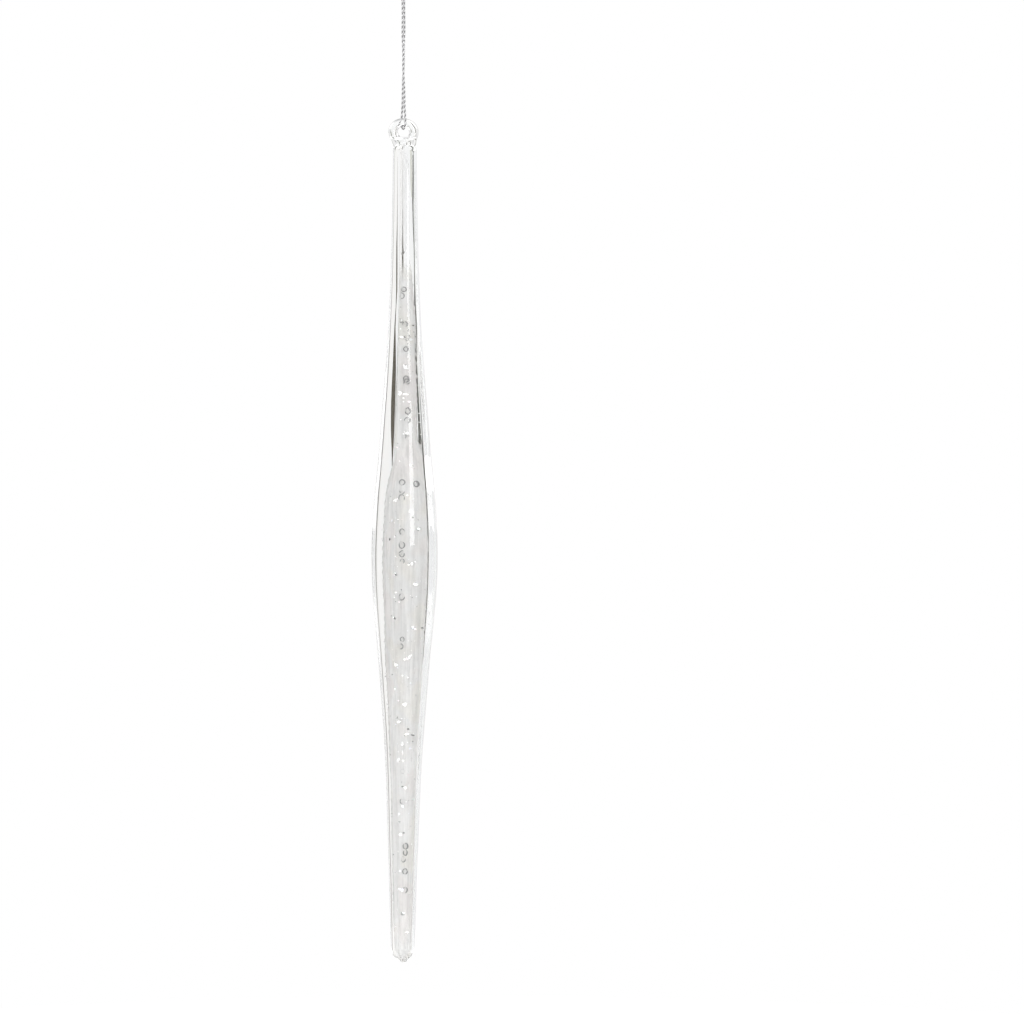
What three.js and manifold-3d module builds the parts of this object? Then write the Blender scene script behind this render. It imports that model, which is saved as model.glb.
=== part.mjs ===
// Glass icicle hanging ornament: a five-lobed spindle of clear drawn glass with a frosted, glittered bore,
// a glass ring fused on its neck, and a thin twisted cord through the ring, knotted at the top.
// Millimetres, +Z up. The origin is where a hook bears, inside the top of the cord loop just under its knot.
// The ring lies in the XZ plane, so the ornament swings about X where the cord passes under the ring's top.

import * as THREE from 'three';
import { mergeVertices } from 'three/addons/utils/BufferGeometryUtils.js';
import Module from 'manifold-3d';

// ---- driving dimensions ----
const RING_CROWN_Z = -46.0; // top of the glass ring: the height of the cord loop above it
const RING_R = 3.5; // radius to the middle of the ring's glass, along Z
const RING_WIDEN = 1.12; // the ring is this much wider than it is high
const RING_TUBE_R = 1.55; // the ring's glass rod
const FOOT_Z = -56.1; // underside of the ring's foot
const NECK_TOP_Z = -56.4; // top face of the spindle's neck
const SPIGOT_R = 0.6;
const SPIGOT_Z = -58.6; // how far the foot's spigot goes down the bore
const CORD_R = 0.45;
const CORD_CLEARANCE = 0.35; // cord to ring, all round the bight
const STRAND_TOP_OUT = 0.68; // each strand from the axis under the knot
const STRAND_TURN = -45; // degrees that the two strands turn about each other, from the ring to the knot
const KNOT_R = 1.5;
const KNOT_Z = 2.25;
const TAIL_TOP_Z = 8.0;
const FACE_TURN = -20; // degrees about Z from the ring's normal to the ornament's front
const RIDGE_TURN = -2; // degrees about Z from -Y to the lobe nearest the front
const LOBES = 5;
const LOBE_OUT = 0.39; // each lobe's centre from the axis, as a share of the ridge radius
const LINER_GAP = 0.35; // between the glass and the frost inside it
const LINER_WALL = 0.25;
const LINER_TOP_Z = -96.0; // the frost starts here and the neck above it stays clear
const BEAD_R = 0.5;
const FLAKE_R = 0.55;
const FLAKE_T = 0.16;

// Ridge radius of the spindle at heights from the neck down: [z, radius].
const BODY = [
  [-56.4, 3.95], [-56.75, 4.25], [-57.56, 4.42], [-64.79, 4.51], [-73.83, 4.64], [-82.86, 4.81], [-91.89, 4.99],
  [-100.93, 5.24], [-109.96, 5.59], [-119.0, 6.04], [-128.03, 6.59], [-137.07, 7.23], [-146.1, 7.97], [-155.14, 8.75],
  [-164.17, 9.48], [-171.4, 10.16], [-178.62, 10.92], [-185.85, 11.55], [-193.08, 12.03], [-200.31, 12.36],
  [-206.45, 12.4], [-212.95, 12.21], [-220.18, 11.74], [-227.41, 11.09], [-234.64, 10.37], [-243.67, 9.53],
  [-252.71, 8.82], [-261.74, 8.06], [-272.58, 7.24], [-283.42, 6.6], [-296.07, 6.1], [-308.72, 5.64],
  [-321.37, 5.15], [-334.02, 4.79], [-345.94, 4.37], [-348.1, 4.1], [-349.3, 2.9], [-350.1, 1.6], [-350.7, 1.3], [-351.0, 0.8],
];
// Radius of the round bore, drawn narrow in the neck and wide in the belly.
const BORE = [
  [-56.4, 0.95], [-75.0, 1.0], [-86.0, 1.08], [-91.0, 1.25], [-96.0, 1.5], [-101.0, 1.75], [-108.0, 1.9], [-115.2, 2.05],
  [-122.6, 2.19], [-129.8, 2.33], [-137.0, 2.5], [-144.3, 2.65], [-151.5, 2.77], [-158.7, 2.88], [-165.9, 3.3],
  [-173.1, 4.35], [-180.4, 5.3], [-189.8, 5.93], [-202.8, 6.25], [-215.9, 6.05], [-238.2, 5.35], [-256.3, 4.6],
  [-274.4, 3.95], [-292.5, 3.5], [-310.5, 3.2], [-328.6, 2.85], [-341.2, 2.6], [-345.5, 2.45],
];
const BORE_END = [[-347.5, 1.9], [-348.6, 1.3], [-349.2, 0.6], [-349.3, 0]];
// The drawn glass isn't dead straight: sideways offset of its axis, towards the front's right.
const DRIFT = [[-56.1, 0.36], [-129.8, 0.29], [-202.1, 0.04], [-265.4, -0.11], [-310.5, -0.33], [-346.7, -0.43], [-350.3, -0.04], [-351, 0]];

// Clear micro beads in the frost: [z, offset to the front's right].
const BEADS = [
  [-108.2, 0.14], [-120.8, 0.5], [-129.8, 0.7], [-140.7, 0.8], [-152.2, 1.2], [-177.9, 0.1], [-180.9, 0.12], [-200.3, 0.1],
  [-203.4, 0.1], [-218.7, 0.1], [-233.9, 0.15], [-272.9, 0.2], [-281.6, 0.2], [-292.5, 0.25], [-308.7, 1.0], [-313.4, 0.5], [-317.8, 0.9],
];
// Glitter flakes stuck inside the frost: [z, offset to the front's right, tilt in degrees, roll in degrees].
const FLAKES = [
  [-125.5, -0.3, 8, 10], [-136.4, 0.5, -12, 40], [-145.6, -0.4, 10, 22], [-160.2, 1.1, -9, 5], [-165.3, -1.2, 12, 31],
  [-171.6, 1.9, -10, 12], [-184.1, -1.8, 14, 3], [-188.4, 2.2, -8, 47], [-191.7, -3.6, 6, 20], [-194.6, 4.1, -13, 8],
  [-197.2, -2.0, 9, 33], [-206.9, 2.6, -6, 15], [-210.7, -1.6, 11, 51], [-214.3, 3.4, -12, 26], [-226.4, -2.1, 7, 9],
  [-229.9, 2.9, -9, 44], [-240.4, 1.9, 12, 18], [-243.3, -1.9, -7, 38], [-251.8, -2.4, 9, 2], [-257.3, 0.7, -11, 29],
  [-263.8, -0.8, 8, 55], [-268.1, 1.3, -10, 13], [-277.6, -1.1, 12, 24], [-287.7, 0.9, -8, 49], [-297.1, -0.9, 10, 7],
  [-304.4, -0.2, -9, 35], [-324.2, -0.5, 11, 16], [-333.2, 0.3, -12, 42],
];

// ---- materials ----
const glass = () => new THREE.MeshStandardMaterial({ color: 0xf4f7f5, roughness: 0.04, metalness: 0, transparent: true, opacity: 0.35 });
const frost = () => new THREE.MeshStandardMaterial({ color: 0xdcded8, roughness: 0.7, metalness: 0, transparent: true, opacity: 0.6 });
const bead = () => new THREE.MeshStandardMaterial({ color: 0xe9ecea, roughness: 0.05, metalness: 0, transparent: true, opacity: 0.5 });
const glitter = () => new THREE.MeshStandardMaterial({ color: 0xf3eef2, roughness: 0.12, metalness: 0.9 });
const thread = () => new THREE.MeshStandardMaterial({ color: 0xb9babb, roughness: 0.35, metalness: 0.8 });

// ---- helpers ----
const wasm = await Module();
wasm.setup();

const rad = (d) => (d * Math.PI) / 180;

function tableAt(table, z) {
  if (z >= table[0][0]) return table[0][1];
  for (let i = 1; i < table.length; i++) {
    const [z0, v0] = table[i - 1];
    const [z1, v1] = table[i];
    if (z >= z1) return v0 + ((v1 - v0) * (z - z0)) / (z1 - z0);
  }
  return table[table.length - 1][1];
}

// Unit vectors to the front's right and out of the front.
const RIGHT = new THREE.Vector3(Math.cos(rad(FACE_TURN)), Math.sin(rad(FACE_TURN)), 0);
const OUT = new THREE.Vector3(Math.sin(rad(FACE_TURN)), -Math.cos(rad(FACE_TURN)), 0);

// A closed geometry with shared vertices, no collapsed triangles and its faces pointing out.
function closed(source) {
  const g = source.clone();
  for (const name of Object.keys(g.attributes)) if (name !== 'position') g.deleteAttribute(name);
  const m = mergeVertices(g, 1e-4);
  const p = m.attributes.position;
  const index = [...m.index.array];
  const kept = [];
  for (let i = 0; i < index.length; i += 3) {
    const [a, b, c] = index.slice(i, i + 3);
    if (a !== b && b !== c && a !== c) kept.push(a, b, c);
  }
  const a = new THREE.Vector3();
  const b = new THREE.Vector3();
  const c = new THREE.Vector3();
  let volume = 0;
  for (let i = 0; i < kept.length; i += 3) {
    a.fromBufferAttribute(p, kept[i]);
    b.fromBufferAttribute(p, kept[i + 1]);
    c.fromBufferAttribute(p, kept[i + 2]);
    volume += a.dot(b.cross(c)) / 6;
  }
  if (volume < 0) for (let i = 0; i < kept.length; i += 3) [kept[i + 1], kept[i + 2]] = [kept[i + 2], kept[i + 1]];
  m.setIndex(kept);
  return m;
}

function solid(source) {
  const g = closed(source);
  return new wasm.Manifold(
    new wasm.Mesh({ numProp: 3, vertProperties: new Float32Array(g.attributes.position.array), triVerts: new Uint32Array(g.index.array) }),
  );
}

function geometryOf(manifold) {
  const mesh = manifold.getMesh();
  const g = new THREE.BufferGeometry();
  g.setAttribute('position', new THREE.BufferAttribute(new Float32Array(mesh.vertProperties), 3));
  g.setIndex([...mesh.triVerts]);
  return g;
}

// A lathe about Z from [z, radius] points, with the seam facing -Y.
function lathe(points, segments) {
  const g = new THREE.LatheGeometry(points.map(([z, r]) => new THREE.Vector2(r, z)), segments);
  return g.rotateX(Math.PI / 2);
}

function named(name, geometry, material) {
  const g = geometry.index ? geometry : mergeVertices(geometry);
  g.computeVertexNormals();
  const mesh = new THREE.Mesh(g, material);
  mesh.name = name;
  return mesh;
}

// Ridge-to-valley factor of the lobed section: five round lobes that meet in narrow valleys.
function lobe(angle) {
  const span = (2 * Math.PI) / LOBES;
  const t = angle - span * Math.round(angle / span);
  const rho = 1 - LOBE_OUT;
  return LOBE_OUT * Math.cos(t) + Math.sqrt(rho * rho - (LOBE_OUT * Math.sin(t)) ** 2);
}

function drift(g) {
  const p = g.attributes.position;
  for (let i = 0; i < p.count; i++) {
    const d = tableAt(DRIFT, p.getZ(i));
    p.setXY(i, p.getX(i) + d * RIGHT.x, p.getY(i) + d * RIGHT.y);
  }
  return g;
}

const part = new THREE.Group();
const icicle = new THREE.Group();
const loop = new THREE.Group();
part.add(icicle, loop);

// ---- glass spindle: lobed outside, round bore open at the neck ----
const outer = [...BODY].reverse();
const profile = [[-351.0, 0], ...outer, ...BORE, ...BORE_END];
const bodyGeometry = lathe(profile, LOBES * 6);
{
  const p = bodyGeometry.attributes.position;
  const rows = profile.length;
  for (let i = 0; i < p.count; i++) {
    const row = i % rows;
    if (row < 1 || row > outer.length) continue;
    const z = p.getZ(i);
    const x = p.getX(i);
    const y = p.getY(i);
    const fade = z < -349.6 ? 0 : 1; // the sealed nub at the tip is round
    const f = 1 + (lobe(Math.atan2(x, -y)) - 1) * fade;
    p.setXY(i, x * f, y * f);
  }
}
icicle.add(named('glass_body', closed(drift(bodyGeometry.rotateZ(rad(RIDGE_TURN)))), glass()));

// ---- hanging ring with its foot and the spigot that seals the bore ----
const ringCentreZ = RING_CROWN_Z - RING_TUBE_R - RING_R;
const torus = new THREE.TorusGeometry(RING_R, RING_TUBE_R, 12, 32).rotateX(Math.PI / 2).scale(RING_WIDEN, 1, 1).translate(0, 0, ringCentreZ);
const foot = drift(
  lathe([[SPIGOT_Z, 0], [SPIGOT_Z, SPIGOT_R], [FOOT_Z, SPIGOT_R], [FOOT_Z, 4.0], [-55.3, 4.35], [-54.3, 4.5], [-53.6, 4.1], [-53.2, 3.0], [-53.05, 0]], 20),
);
const upper = solid(new THREE.BoxGeometry(20, 20, 40).translate(0, 0, FOOT_Z + 20));
const ring = solid(torus).intersect(upper).add(solid(foot));
icicle.add(named('hanging_ring', geometryOf(ring), glass()));

// ---- frost inside the bore, open at the top ----
const linerRows = BORE.filter(([z]) => z < LINER_TOP_Z);
const linerOut = [[LINER_TOP_Z, tableAt(BORE, LINER_TOP_Z) - LINER_GAP], ...linerRows.map(([z, r]) => [z, r - LINER_GAP]), [-347.2, 1.6], [-348.2, 1.05], [-348.75, 0.4], [-348.85, 0]];
const linerIn = [
  [LINER_TOP_Z, tableAt(BORE, LINER_TOP_Z) - LINER_GAP - LINER_WALL],
  ...linerRows.map(([z, r]) => [z, r - LINER_GAP - LINER_WALL]),
  [-347.0, 1.35], [-347.9, 0.8], [-348.35, 0.25], [-348.4, 0],
];
icicle.add(named('frost_liner', closed(drift(lathe([...[...linerOut].reverse(), ...linerIn], 20))), frost()));

// ---- beads and flakes inside the frost ----
const innerRadius = (z) => tableAt(BORE, z) - LINER_GAP - LINER_WALL;

BEADS.forEach(([z, right], i) => {
  const room = Math.max(innerRadius(z) * 0.98 - 0.28 - BEAD_R, 0.02);
  const x = Math.max(-room, Math.min(room, right));
  const out = Math.sqrt(Math.max(room * room - x * x, 0));
  const d = tableAt(DRIFT, z);
  const mesh = named(`ice_bead_${String(i + 1).padStart(2, '0')}`, closed(new THREE.SphereGeometry(BEAD_R, 8, 6)), bead());
  mesh.position.copy(RIGHT.clone().multiplyScalar(x + d).addScaledVector(OUT, out).setZ(z));
  icicle.add(mesh);
});

FLAKES.forEach(([z, right, tilt, roll], i) => {
  const reach = innerRadius(z) * 0.98 - 0.3;
  const room = Math.max(Math.sqrt(Math.max(reach * reach - FLAKE_R * FLAKE_R, 0)) - FLAKE_T - 0.1, 0.05);
  const x = Math.max(-room, Math.min(room, right));
  const out = Math.sqrt(Math.max(room * room - x * x, 0));
  const d = tableAt(DRIFT, z);
  const mesh = named(`glitter_flake_${String(i + 1).padStart(2, '0')}`, closed(new THREE.CylinderGeometry(FLAKE_R, FLAKE_R, FLAKE_T, 6)), glitter());
  const facing = RIGHT.clone().multiplyScalar(x).addScaledVector(OUT, Math.max(out, 0.05)).normalize();
  const turn = new THREE.Quaternion().setFromUnitVectors(new THREE.Vector3(0, 1, 0), facing);
  const spin = new THREE.Quaternion().setFromAxisAngle(new THREE.Vector3(0, 1, 0), rad(roll));
  const lean = new THREE.Quaternion().setFromAxisAngle(new THREE.Vector3(1, 0, 0), rad(tilt * 0.5));
  mesh.quaternion.copy(turn).multiply(lean).multiply(spin);
  mesh.position.copy(RIGHT.clone().multiplyScalar(x + d).addScaledVector(OUT, out).setZ(z));
  icicle.add(mesh);
});

// ---- cord: from the knot down the front, under the ring's top and up the back ----
const bightZ = RING_CROWN_Z - RING_TUBE_R; // middle of the ring's glass where the cord hangs it
const bightR = RING_TUBE_R + CORD_R + CORD_CLEARANCE;
const CORD_TOP_Z = 0.2;

function strand(side, z) {
  const s = Math.min(1, Math.max(0, (CORD_TOP_Z - z) / (CORD_TOP_Z - bightZ)));
  const h = STRAND_TOP_OUT + (bightR - STRAND_TOP_OUT) * s;
  const a = rad(-90 + STRAND_TURN * (1 - s)) + (side < 0 ? 0 : Math.PI);
  return new THREE.Vector3(h * Math.cos(a), h * Math.sin(a), z);
}
const route = [];
for (let i = 0; i <= 11; i++) route.push(strand(-1, CORD_TOP_Z + ((bightZ - CORD_TOP_Z) * i) / 11));
for (let i = 1; i < 8; i++) {
  const a = (Math.PI * i) / 8;
  route.push(new THREE.Vector3(0, -bightR * Math.cos(a), bightZ - bightR * Math.sin(a)));
}
for (let i = 11; i >= 0; i--) route.push(strand(1, CORD_TOP_Z + ((bightZ - CORD_TOP_Z) * i) / 11));

function section(radius, sides) {
  const points = [];
  for (let i = 0; i < sides; i++) points.push(new THREE.Vector2(radius * Math.cos((2 * Math.PI * i) / sides), radius * Math.sin((2 * Math.PI * i) / sides)));
  return new THREE.Shape(points);
}
const cordPath = new THREE.CatmullRomCurve3(route, false, 'centripetal');
const cordGeometry = new THREE.ExtrudeGeometry(section(CORD_R, 8), { steps: 74, bevelEnabled: false, extrudePath: cordPath });
loop.add(named('hanging_cord', closed(cordGeometry), thread()));

// ---- knot that joins the cord's two ends, with its two short tails ----
const ball = solid(new THREE.SphereGeometry(KNOT_R, 12, 8).rotateX(Math.PI / 2).scale(1, 1, 1.15).translate(0, 0, KNOT_Z));
const tail = (x, y) =>
  solid(
    new THREE.ExtrudeGeometry(section(0.42, 8), {
      steps: 4,
      bevelEnabled: false,
      extrudePath: new THREE.CatmullRomCurve3([
        new THREE.Vector3(x * 0.35, y * 0.35, KNOT_Z),
        new THREE.Vector3(x * 0.5, y * 0.5, KNOT_Z + 1.9),
        new THREE.Vector3(x * 1.0, y * 1.0, TAIL_TOP_Z - 0.1),
      ]),
    }),
  );
const knot = ball.add(tail(1.5, 0.4)).add(tail(-1.3, -0.5));
loop.add(named('cord_knot', geometryOf(knot), thread()));

export default part;
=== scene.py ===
import bpy
import math
import random
import numpy as np
from mathutils import Matrix, Quaternion, Vector


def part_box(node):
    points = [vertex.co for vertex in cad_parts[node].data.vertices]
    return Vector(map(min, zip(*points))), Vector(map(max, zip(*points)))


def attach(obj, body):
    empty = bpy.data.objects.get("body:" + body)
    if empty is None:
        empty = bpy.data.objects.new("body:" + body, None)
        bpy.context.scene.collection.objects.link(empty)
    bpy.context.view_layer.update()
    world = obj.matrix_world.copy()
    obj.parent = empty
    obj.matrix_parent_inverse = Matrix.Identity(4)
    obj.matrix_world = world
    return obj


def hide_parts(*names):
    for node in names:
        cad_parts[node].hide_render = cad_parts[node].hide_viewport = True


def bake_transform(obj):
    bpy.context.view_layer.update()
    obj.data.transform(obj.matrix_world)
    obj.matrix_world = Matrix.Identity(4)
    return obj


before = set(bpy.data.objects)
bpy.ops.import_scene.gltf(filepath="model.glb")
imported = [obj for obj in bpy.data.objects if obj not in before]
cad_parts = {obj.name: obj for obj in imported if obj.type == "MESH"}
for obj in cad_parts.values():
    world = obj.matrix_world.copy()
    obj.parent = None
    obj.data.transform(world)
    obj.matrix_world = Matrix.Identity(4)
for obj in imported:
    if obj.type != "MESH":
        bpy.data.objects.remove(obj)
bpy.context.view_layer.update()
MM = 0.001
scene = bpy.context.scene
scene.view_settings.view_transform = "Standard"
scene.cycles.transparent_max_bounces = 32
scene.cycles.max_bounces = 24
scene.cycles.transmission_bounces = 24
scene.cycles.glossy_bounces = 24

# ------------------------------------------------------------------ frame facts, in mm
FACE = math.radians(-20.0)  # the front faces this far about Z from the ring's normal
RIGHT = np.array([math.cos(FACE), math.sin(FACE), 0.0])
OUT = np.array([math.sin(FACE), -math.cos(FACE), 0.0])
RIDGE = math.radians(-92.0)
LOBES, LOBE_OUT = 5, 0.39
RING_CROWN_Z, RING_R, RING_WIDEN, RING_TUBE_R = -46.0, 3.5, 1.12, 1.55
NECK_TOP_Z, FOOT_Z, TIP_Z = -56.4, -56.1, -351.0
LINER_GAP, LINER_WALL, LINER_TOP_Z = 0.35, 0.25, -96.0
BODY = [
    (-57.56, 4.42), (-64.79, 4.51), (-73.83, 4.64), (-82.86, 4.81), (-91.89, 4.99), (-100.93, 5.24), (-109.96, 5.59),
    (-119.0, 6.04), (-128.03, 6.59), (-137.07, 7.23), (-146.1, 7.97), (-155.14, 8.75), (-164.17, 9.48), (-171.4, 10.16),
    (-178.62, 10.92), (-185.85, 11.55), (-193.08, 12.03), (-200.31, 12.36), (-206.45, 12.4), (-212.95, 12.21),
    (-220.18, 11.74), (-227.41, 11.09), (-234.64, 10.37), (-243.67, 9.53), (-252.71, 8.82), (-261.74, 8.06),
    (-272.58, 7.24), (-283.42, 6.6), (-296.07, 6.1), (-308.72, 5.64), (-321.37, 5.15), (-334.02, 4.79), (-345.94, 4.37),
]
BORE = [
    (-56.4, 0.95), (-75.0, 1.0), (-86.0, 1.08), (-91.0, 1.25), (-96.0, 1.5), (-101.0, 1.75), (-108.0, 1.9), (-115.2, 2.05),
    (-122.6, 2.19), (-129.8, 2.33), (-137.0, 2.5), (-144.3, 2.65), (-151.5, 2.77), (-158.7, 2.88), (-165.9, 3.3),
    (-173.1, 4.35), (-180.4, 5.3), (-189.8, 5.93), (-202.8, 6.25), (-215.9, 6.05), (-238.2, 5.35), (-256.3, 4.6),
    (-274.4, 3.95), (-292.5, 3.5), (-310.5, 3.2), (-328.6, 2.85), (-341.2, 2.6), (-345.5, 2.45),
]
DRIFT = [(-56.1, 0.36), (-129.8, 0.29), (-202.1, 0.04), (-265.4, -0.11), (-310.5, -0.33), (-346.7, -0.43), (-350.3, -0.04), (-351.0, 0.0)]


def at(table, z):
    t = np.array(table, float)[::-1]
    return np.interp(z, t[:, 0], t[:, 1])


def spline(table):
    """Natural cubic through a table of (z, value), as a function of z."""
    t = np.array(table, float)[::-1]
    x, y = t[:, 0], t[:, 1]
    n, h = len(x), np.diff(x)
    a, b = np.zeros((n, n)), np.zeros(n)
    a[0, 0] = a[-1, -1] = 1
    for i in range(1, n - 1):
        a[i, i - 1], a[i, i], a[i, i + 1] = h[i - 1], 2 * (h[i - 1] + h[i]), h[i]
        b[i] = 3 * ((y[i + 1] - y[i]) / h[i] - (y[i] - y[i - 1]) / h[i - 1])
    c = np.linalg.solve(a, b)
    bb = (y[1:] - y[:-1]) / h - h * (2 * c[:-1] + c[1:]) / 3
    d = (c[1:] - c[:-1]) / (3 * h)

    def f(z):
        z = np.asarray(z, float)
        i = np.clip(np.searchsorted(x, z) - 1, 0, n - 2)
        u = np.clip(z, x[0], x[-1]) - x[i]
        return y[i] + bb[i] * u + c[i] * u**2 + d[i] * u**3

    return f


body_r, bore_r = spline(BODY), spline(BORE)
inner_r = lambda z: bore_r(z) - LINER_GAP - LINER_WALL


def drift(p):
    d = at(DRIFT, p[:, 2])
    return p + d[:, None] * RIGHT


# ------------------------------------------------------------------ helpers
def mesh_object(name, verts, faces, smooth=True, scale=MM):
    me = bpy.data.meshes.new(name)
    me.from_pydata((np.asarray(verts, float) * scale).tolist(), [], [list(map(int, f)) for f in faces])
    me.validate()
    if smooth:
        me.polygons.foreach_set("use_smooth", [True] * len(me.polygons))
    ob = bpy.data.objects.new(name, me)
    scene.collection.objects.link(ob)
    return ob


def grid_faces(rows, sides, start=0):
    """Quads between successive closed rings, each ring anticlockwise seen from above and rings running downwards: normals point out."""
    i = np.arange(rows - 1)[:, None] * sides
    j = np.arange(sides)[None, :]
    k = (j + 1) % sides
    a, b, c, d = i + j, i + k, i + sides + k, i + sides + j
    return (np.stack([a, d, c, b], -1).reshape(-1, 4) + start).tolist()


def revolve(profile, sides, shape=None, start=0):
    """Rings at (z, r) of a profile, top down. shape(angle, z) scales r. Returns the vertices and the quads."""
    ang = 2 * math.pi * np.arange(sides) / sides
    rings = []
    for z, r in profile:
        s = shape(ang, z) if shape is not None else 1.0
        rings.append(np.stack([r * s * np.cos(ang), r * s * np.sin(ang), np.full(sides, z)], -1))
    return np.concatenate(rings), grid_faces(len(profile), sides, start)


def node_mat(name):
    m = bpy.data.materials.new(name)
    m.use_nodes = True
    nt = m.node_tree
    nt.nodes.clear()
    out = nt.nodes.new("ShaderNodeOutputMaterial")
    return m, nt, out


def add(nt, kind, **sets):
    n = nt.nodes.new(kind)
    for k, v in sets.items():
        if k in n.inputs:
            n.inputs[k].default_value = v
        else:
            setattr(n, k, v)
    return n


def ramp(nt, stops):
    n = nt.nodes.new("ShaderNodeValToRGB")
    e = n.color_ramp.elements
    while len(e) > 1:
        e.remove(e[-1])
    for i, (pos, col) in enumerate(stops):
        s = e[0] if i == 0 else e.new(pos)
        s.position = pos
        s.color = (*col, 1.0) if len(col) == 3 else col
    return n


def coords(nt, scale):
    t = nt.nodes.new("ShaderNodeTexCoord")
    m = nt.nodes.new("ShaderNodeMapping")
    m.inputs["Scale"].default_value = scale
    nt.links.new(t.outputs["Object"], m.inputs["Vector"])
    return m.outputs["Vector"]


# ------------------------------------------------------------------ camera
PX = 305.0 / 844.0  # mm per row of the 1024 frame at the ornament
LENS, SENSOR = 100.0, 36.0
DIST = 1024 * PX * MM * LENS / SENSOR
cam_data = bpy.data.cameras.new("camera")
cam_data.lens, cam_data.sensor_width = LENS, SENSOR
cam = bpy.data.objects.new("camera", cam_data)
scene.collection.objects.link(cam)
aim_z = (RING_CROWN_Z - (512 - 118) * PX) * MM
aside = (512 - 403.5) * PX * MM
cam.location = Vector(OUT) * DIST + Vector(RIGHT) * aside + Vector((0, 0, aim_z))
cam.rotation_mode = "QUATERNION"
cam.rotation_quaternion = (-Vector(OUT)).to_track_quat("-Z", "Y")
cam_data.clip_start, cam_data.clip_end = 0.01, 100
scene.camera = cam

# ------------------------------------------------------------------ cord, one length doubled through the ring
CORD_R, CORD_CLEARANCE, STRAND_TOP_OUT, STRAND_TURN, CORD_TOP_Z = 0.45, 0.35, 0.68, -45.0, 0.2
BIGHT_Z = RING_CROWN_Z - RING_TUBE_R
BIGHT_R = RING_TUBE_R + CORD_R + CORD_CLEARANCE


def strand(side, z):
    s = min(1.0, max(0.0, (CORD_TOP_Z - z) / (CORD_TOP_Z - BIGHT_Z)))
    h = STRAND_TOP_OUT + (BIGHT_R - STRAND_TOP_OUT) * s
    a = math.radians(-90 + STRAND_TURN * (1 - s)) + (0 if side < 0 else math.pi)
    w = 0.05 * math.sin(z * 0.45 + side) * min(1, (CORD_TOP_Z - z) / 3) * min(1, (z - BIGHT_Z) / 4)
    return (h * math.cos(a) + w, h * math.sin(a) - w, z)


route = [strand(-1, z) for z in np.linspace(CORD_TOP_Z, BIGHT_Z, 160)]
route += [(0, -BIGHT_R * math.cos(t), BIGHT_Z - BIGHT_R * math.sin(t)) for t in np.linspace(0, math.pi, 42)[1:-1]]
route += [strand(1, z) for z in np.linspace(BIGHT_Z, CORD_TOP_Z, 160)]
route = np.array(route)


def evenly(line, step):
    d = np.concatenate([[0], np.cumsum(np.linalg.norm(np.diff(line, axis=0), axis=1))])
    s = np.linspace(0, d[-1], max(2, int(round(d[-1] / step)) + 1))
    return np.stack([np.interp(s, d, line[:, k]) for k in range(3)], -1), s


def frames(line):
    """Tangents and two normals carried along without twist."""
    t = np.gradient(line, axis=0)
    t /= np.linalg.norm(t, axis=1)[:, None]
    u = np.zeros_like(t)
    first = np.cross(t[0], [0.3, 0.9, 0.1])
    u[0] = first / np.linalg.norm(first)
    for i in range(1, len(t)):
        v = u[i - 1] - t[i] * (u[i - 1] @ t[i])
        u[i] = v / np.linalg.norm(v)
    return t, u, np.cross(t, u)


def twisted(line, step=0.14, plies=2, out=0.215, r=0.235, pitch=3.4, sides=10, turn=0.0, handed=1.0, flat=1.0):
    """Plies wound round a line. Returns vertices, faces and, per vertex, (ply, round it, along it) for the thread's material."""
    c, s = evenly(line, step)
    t, u, v = frames(c)
    verts, faces, uv = [], [], []
    for k in range(plies):
        a = handed * 2 * math.pi * s / pitch + 2 * math.pi * k / plies + turn
        n = np.cos(a)[:, None] * u + np.sin(a)[:, None] * v
        p = c + out * n
        pt = np.gradient(p, axis=0)
        pt /= np.linalg.norm(pt, axis=1)[:, None]
        b = np.cross(pt, n)
        b /= np.linalg.norm(b, axis=1)[:, None]
        n2 = np.cross(b, pt)
        base = sum(len(x) for x in verts)
        ring = 2 * math.pi * np.arange(sides) / sides
        ends = np.ones(len(s))
        ends[0] = ends[-1] = 0.55
        q = p[:, None, :] + r * ends[:, None, None] * (np.cos(ring)[None, :, None] * n2[:, None, :] + flat * np.sin(ring)[None, :, None] * b[:, None, :])
        verts.append(q.reshape(-1, 3))
        m = len(s)
        i = np.arange(m - 1)[:, None] * sides
        j = np.arange(sides)[None, :]
        kk = (j + 1) % sides
        faces += (np.stack([i + j, i + kk, i + sides + kk, i + sides + j], -1).reshape(-1, 4) + base).tolist()
        faces += [[base + x for x in range(sides)][::-1], [base + (m - 1) * sides + x for x in range(sides)]]
        uv.append(np.stack([np.full((m, sides), k + 0.0), np.broadcast_to(ring / (2 * math.pi), (m, sides)), np.broadcast_to(s[:, None], (m, sides))], -1).reshape(-1, 3))
    return np.concatenate(verts), faces, np.concatenate(uv), c


def thread_attributes(ob, uv):
    for name, col in (("around", 1), ("along", 2)):
        a = ob.data.attributes.new(name, "FLOAT", "POINT")
        a.data.foreach_set("value", uv[:, col].astype(np.float32))


cord_v, cord_f, cord_uv, cord_line = twisted(route)
cord = mesh_object("hanging_cord_twisted", cord_v, cord_f)
thread_attributes(cord, cord_uv)

# the knot: both ends tied together in one overhand knot, with the two tails standing up out of it
KNOT_Z = 2.25
TAIL_TOP_Z = 7.75


def smooth_line(p, rounds=10):
    p, _ = evenly(np.asarray(p, float), 0.16)
    for _ in range(rounds):
        q = p.copy()
        q[1:-1] = 0.25 * p[:-2] + 0.5 * p[1:-1] + 0.25 * p[2:]
        p = q
    return p


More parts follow.
